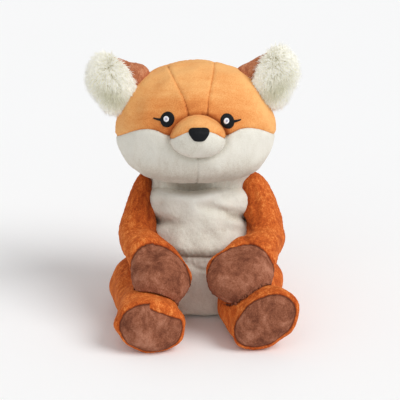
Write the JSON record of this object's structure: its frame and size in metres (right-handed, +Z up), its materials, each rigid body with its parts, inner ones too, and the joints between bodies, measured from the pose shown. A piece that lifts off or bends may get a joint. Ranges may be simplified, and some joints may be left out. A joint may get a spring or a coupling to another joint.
{
  "type": "plush fox",
  "caption": "Seated plush fox with a round head, furry ears, cream belly, brown paw pads and soles, bent arms resting between its outstretched legs, and a bushy tail behind.",
  "frame": {"origin": "on the floor under the middle of the seat", "axes": "+Z up; the fox faces -Y, so its left side is +X and its tail lies towards +Y"},
  "size_m": [0.2377, 0.3316, 0.2954],
  "materials": {
    "orange_plush": "dense deep-orange minky plush, mottled by its nap",
    "head_plush": "short smooth lighter-orange plush",
    "cream_plush": "short cream plush",
    "brown_plush": "brown crushed-pile plush",
    "ear_plush": "rust-brown plush",
    "long_fur": "long shaggy cream fur",
    "black_thread": "black satin-stitch embroidery",
    "white_thread": "white satin-stitch embroidery",
    "stuffing": "white polyester fibre filling",
    "bead_cloth": "plain woven pouch filled with plastic beads"
  },
  "bodies": {
    "torso": {"back_panel": "orange_plush", "belly_upper_panel": "cream_plush", "belly_lower_panel": "cream_plush", "torso_stuffing": "stuffing", "bead_pouch": "bead_cloth"},
    "neck": {"neck_plug": "stuffing"},
    "head": {"head_back_panel": "head_plush", "face_left_panel": "head_plush", "face_right_panel": "head_plush", "forehead_gusset": "head_plush", "cheek_left_panel": "cream_plush", "cheek_right_panel": "cream_plush", "head_stuffing": "stuffing", "muzzle_bridge": "head_plush", "muzzle_lower": "cream_plush", "muzzle_stuffing": "stuffing", "nose": "black_thread", "eye_left": "black_thread", "eye_right": "black_thread", "eye_glint_left": "white_thread", "eye_glint_right": "white_thread", "eyelash_left": "black_thread", "eyelash_right": "black_thread", "ear_left_back": "ear_plush", "ear_left_fur": "long_fur", "ear_right_back": "ear_plush", "ear_right_fur": "long_fur"},
    "arm_left": {"arm_left_sleeve": "orange_plush", "arm_left_paw_pad": "brown_plush", "arm_left_stuffing": "stuffing"},
    "arm_right": {"arm_right_sleeve": "orange_plush", "arm_right_paw_pad": "brown_plush", "arm_right_stuffing": "stuffing"},
    "leg_left": {"leg_left_cover": "orange_plush", "leg_left_sole": "brown_plush", "leg_left_stuffing": "stuffing"},
    "leg_right": {"leg_right_cover": "orange_plush", "leg_right_sole": "brown_plush", "leg_right_stuffing": "stuffing"},
    "tail": {"tail_cover": "orange_plush", "tail_tip": "cream_plush", "tail_stuffing": "stuffing"}
  },
  "joints": [
    {"name": "neck_turn", "type": "hinge", "parent": "torso", "child": "neck", "pos_m": [0, 0.006, 0.146], "axis": [0, 0, 1], "range_deg": [-25, 25], "stiffness_Nm_per_rad": 0.4},
    {"name": "neck_nod", "type": "hinge", "parent": "neck", "child": "head", "pos_m": [0, 0.006, 0.146], "axis": [1, 0, 0], "range_deg": [-8, 8], "stiffness_Nm_per_rad": 1.5},
    {"name": "shoulder_left", "type": "hinge", "parent": "torso", "child": "arm_left", "pos_m": [0.06601, 0, 0.1296], "axis": [-1, 0, 0], "range_deg": [0, 40]},
    {"name": "shoulder_right", "type": "hinge", "parent": "torso", "child": "arm_right", "pos_m": [-0.06616, 0, 0.1296], "axis": [-1, 0, 0], "range_deg": [0, 40]},
    {"name": "hip_left", "type": "hinge", "parent": "torso", "child": "leg_left", "pos_m": [0.06255, 0, 0.0315], "axis": [0, 0, 1], "range_deg": [0, 30], "stiffness_Nm_per_rad": 0.1},
    {"name": "hip_right", "type": "hinge", "parent": "torso", "child": "leg_right", "pos_m": [-0.06253, 0, 0.0315], "axis": [0, 0, -1], "range_deg": [0, 30], "stiffness_Nm_per_rad": 0.1},
    {"name": "tail_swing", "type": "hinge", "parent": "torso", "child": "tail", "pos_m": [0, 0.06878, 0.024], "axis": [0, 0, 1], "range_deg": [-20, 20], "stiffness_Nm_per_rad": 0.05}
  ]
}
